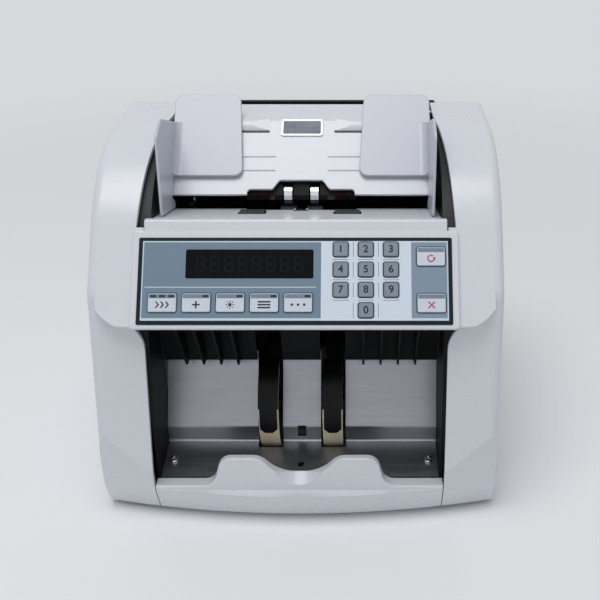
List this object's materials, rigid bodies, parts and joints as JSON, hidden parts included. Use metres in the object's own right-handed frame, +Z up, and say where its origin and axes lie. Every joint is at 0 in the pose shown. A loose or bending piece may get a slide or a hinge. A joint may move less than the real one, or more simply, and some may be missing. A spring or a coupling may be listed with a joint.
{
  "type": "banknote counting machine",
  "caption": "Desktop banknote counter: sloped hopper with sliding guides under a hinged top cover, tilted key panel with a dark display, and a stacker pocket with bladed wheels.",
  "frame": {"origin": "centre of the bounding box in plan, on the floor under the rubber feet", "axes": "+Z up, +Y to the rear, the key panel and the stacker pocket face -Y"},
  "size_m": [0.29, 0.252, 0.2736],
  "materials": {
    "pale_plastic": "fine satin grain",
    "guide_plastic": "satin",
    "key_plastic": "satin",
    "printed_film": "satin printed",
    "dark_acrylic": "gloss",
    "red_acrylic": "gloss",
    "circuit_board": "satin",
    "grey_steel": "satin paint",
    "black_steel": "matt paint",
    "stainless_steel": "brushed",
    "bright_steel": "polished",
    "dark_metal": "satin paint",
    "aluminium_alloy": "turned",
    "silver_trim": "satin",
    "iron_core": "varnished",
    "black_plastic": "matt",
    "black_rubber": "matt",
    "belt_rubber": "matt",
    "tan_urethane": "satin"
  },
  "bodies": {
    "chassis": {"base_plate": "grey_steel", "cover_screws": "bright_steel", "display_board": "circuit_board", "display_window": "dark_acrylic", "drive_belts": "belt_rubber", "drive_motors": "dark_metal", "exit_guide": "black_plastic", "frame_plates": "black_steel", "frame_tie_bars": "bright_steel", "front_housing": "pale_plastic", "hopper_floor": "grey_steel", "left_side_cover": "pale_plastic", "main_board": "circuit_board", "panel_overlay": "printed_film", "photo_sensors": "black_plastic", "power_inlet": "black_plastic", "rear_cover": "black_plastic", "right_side_cover": "pale_plastic", "rubber_feet": "black_rubber", "sensor_windows": "red_acrylic", "separator_block": "black_plastic", "shaft_bearings": "bright_steel", "stacker_lip": "pale_plastic", "stacker_plate": "stainless_steel", "stacker_screws": "bright_steel", "stacker_walls": "black_plastic", "transformer": "iron_core"},
    "top_cover": {"top_cover": "pale_plastic", "badge_plate": "silver_trim", "guide_rail": "bright_steel"},
    "left_guide": {"left_hopper_guide": "guide_plastic"},
    "right_guide": {"right_hopper_guide": "guide_plastic"},
    "kick": {"kick_shaft": "bright_steel", "kick_rollers": "black_rubber"},
    "feed": {"feed_shaft": "bright_steel", "feed_rollers": "black_rubber"},
    "stacker": {"stacker_shaft": "bright_steel", "stacker_wheels": "black_plastic", "stacker_blades": "tan_urethane"},
    "feed_motor": {"feed_motor_pulley": "aluminium_alloy"},
    "stacker_motor": {"stacker_motor_pulley": "aluminium_alloy"},
    "pinch": {"pinch_rollers": "bright_steel"},
    "rocker": {"power_switch": "black_plastic"},
    "key_0": {"key_0": "key_plastic"},
    "key_1": {"key_1": "key_plastic"},
    "key_2": {"key_2": "key_plastic"},
    "key_3": {"key_3": "key_plastic"},
    "key_4": {"key_4": "key_plastic"},
    "key_5": {"key_5": "key_plastic"},
    "key_6": {"key_6": "key_plastic"},
    "key_7": {"key_7": "key_plastic"},
    "key_8": {"key_8": "key_plastic"},
    "key_9": {"key_9": "key_plastic"},
    "key_mode_1": {"key_mode_1": "key_plastic"},
    "key_mode_2": {"key_mode_2": "key_plastic"},
    "key_mode_3": {"key_mode_3": "key_plastic"},
    "key_mode_4": {"key_mode_4": "key_plastic"},
    "key_mode_5": {"key_mode_5": "key_plastic"},
    "key_start": {"key_start": "key_plastic"},
    "key_stop": {"key_stop": "key_plastic"}
  },
  "joints": [
    {"name": "key_0_press", "type": "slide", "parent": "chassis", "child": "key_0", "axis": [0, 0.7837, -0.6211], "range_m": [0, 0.0007], "stiffness_N_per_m": 500, "springref_m": -0.0004},
    {"name": "key_1_press", "type": "slide", "parent": "chassis", "child": "key_1", "axis": [0, 0.7837, -0.6211], "range_m": [0, 0.0007], "stiffness_N_per_m": 500, "springref_m": -0.0004},
    {"name": "key_2_press", "type": "slide", "parent": "chassis", "child": "key_2", "axis": [0, 0.7837, -0.6211], "range_m": [0, 0.0007], "stiffness_N_per_m": 500, "springref_m": -0.0004},
    {"name": "key_3_press", "type": "slide", "parent": "chassis", "child": "key_3", "axis": [0, 0.7837, -0.6211], "range_m": [0, 0.0007], "stiffness_N_per_m": 500, "springref_m": -0.0004},
    {"name": "key_4_press", "type": "slide", "parent": "chassis", "child": "key_4", "axis": [0, 0.7837, -0.6211], "range_m": [0, 0.0007], "stiffness_N_per_m": 500, "springref_m": -0.0004},
    {"name": "key_5_press", "type": "slide", "parent": "chassis", "child": "key_5", "axis": [0, 0.7837, -0.6211], "range_m": [0, 0.0007], "stiffness_N_per_m": 500, "springref_m": -0.0004},
    {"name": "key_6_press", "type": "slide", "parent": "chassis", "child": "key_6", "axis": [0, 0.7837, -0.6211], "range_m": [0, 0.0007], "stiffness_N_per_m": 500, "springref_m": -0.0004},
    {"name": "key_7_press", "type": "slide", "parent": "chassis", "child": "key_7", "axis": [0, 0.7837, -0.6211], "range_m": [0, 0.0007], "stiffness_N_per_m": 500, "springref_m": -0.0004},
    {"name": "key_8_press", "type": "slide", "parent": "chassis", "child": "key_8", "axis": [0, 0.7837, -0.6211], "range_m": [0, 0.0007], "stiffness_N_per_m": 500, "springref_m": -0.0004},
    {"name": "key_9_press", "type": "slide", "parent": "chassis", "child": "key_9", "axis": [0, 0.7837, -0.6211], "range_m": [0, 0.0007], "stiffness_N_per_m": 500, "springref_m": -0.0004},
    {"name": "key_mode_1_press", "type": "slide", "parent": "chassis", "child": "key_mode_1", "axis": [0, 0.7837, -0.6211], "range_m": [0, 0.0007], "stiffness_N_per_m": 500, "springref_m": -0.0004},
    {"name": "key_mode_2_press", "type": "slide", "parent": "chassis", "child": "key_mode_2", "axis": [0, 0.7837, -0.6211], "range_m": [0, 0.0007], "stiffness_N_per_m": 500, "springref_m": -0.0004},
    {"name": "key_mode_3_press", "type": "slide", "parent": "chassis", "child": "key_mode_3", "axis": [0, 0.7837, -0.6211], "range_m": [0, 0.0007], "stiffness_N_per_m": 500, "springref_m": -0.0004},
    {"name": "key_mode_4_press", "type": "slide", "parent": "chassis", "child": "key_mode_4", "axis": [0, 0.7837, -0.6211], "range_m": [0, 0.0007], "stiffness_N_per_m": 500, "springref_m": -0.0004},
    {"name": "key_mode_5_press", "type": "slide", "parent": "chassis", "child": "key_mode_5", "axis": [0, 0.7837, -0.6211], "range_m": [0, 0.0007], "stiffness_N_per_m": 500, "springref_m": -0.0004},
    {"name": "key_start_press", "type": "slide", "parent": "chassis", "child": "key_start", "axis": [0, 0.7837, -0.6211], "range_m": [0, 0.0007], "stiffness_N_per_m": 500, "springref_m": -0.0004},
    {"name": "key_stop_press", "type": "slide", "parent": "chassis", "child": "key_stop", "axis": [0, 0.7837, -0.6211], "range_m": [0, 0.0007], "stiffness_N_per_m": 500, "springref_m": -0.0004},
    {"name": "top_cover_hinge", "type": "hinge", "parent": "chassis", "child": "top_cover", "pos_m": [0, 0.082, 0.2505], "axis": [-1, 0, 0], "range_deg": [0, 75]},
    {"name": "left_guide_slide", "type": "slide", "parent": "top_cover", "child": "left_guide", "axis": [1, 0, 0], "range_m": [0, 0.022]},
    {"name": "right_guide_slide", "type": "slide", "parent": "top_cover", "child": "right_guide", "axis": [-1, 0, 0], "range_m": [0, 0.022]},
    {"name": "kick_spin", "type": "hinge", "parent": "chassis", "child": "kick", "pos_m": [0, -0.01781, 0.18968], "axis": [-1, 0, 0], "continuous": true},
    {"name": "feed_spin", "type": "hinge", "parent": "chassis", "child": "feed", "pos_m": [0, 0.00576, 0.18575], "axis": [-1, 0, 0], "continuous": true},
    {"name": "pinch_spin", "type": "hinge", "parent": "chassis", "child": "pinch", "pos_m": [0, 0.01137, 0.20744], "axis": [-1, 0, 0], "continuous": true},
    {"name": "feed_motor_spin", "type": "hinge", "parent": "chassis", "child": "feed_motor", "pos_m": [0, 0.053, 0.14], "axis": [-1, 0, 0], "continuous": true},
    {"name": "stacker_spin", "type": "hinge", "parent": "chassis", "child": "stacker", "pos_m": [0, -0.038, 0.072], "axis": [1, 0, 0], "continuous": true},
    {"name": "stacker_motor_spin", "type": "hinge", "parent": "chassis", "child": "stacker_motor", "pos_m": [0, 0.0398, 0.045], "axis": [1, 0, 0], "continuous": true},
    {"name": "switch_rock", "type": "hinge", "parent": "chassis", "child": "rocker", "pos_m": [-0.038, 0.118, 0.038], "axis": [1, 0, 0], "range_deg": [0, 20]}
  ],
  "couplings": [
    {"joint": "kick_spin", "follows": "feed_spin", "ratio": 1},
    {"joint": "pinch_spin", "follows": "feed_spin", "ratio": -1.75},
    {"joint": "feed_motor_spin", "follows": "feed_spin", "ratio": 1.4286},
    {"joint": "stacker_motor_spin", "follows": "stacker_spin", "ratio": 1.7143}
  ]
}
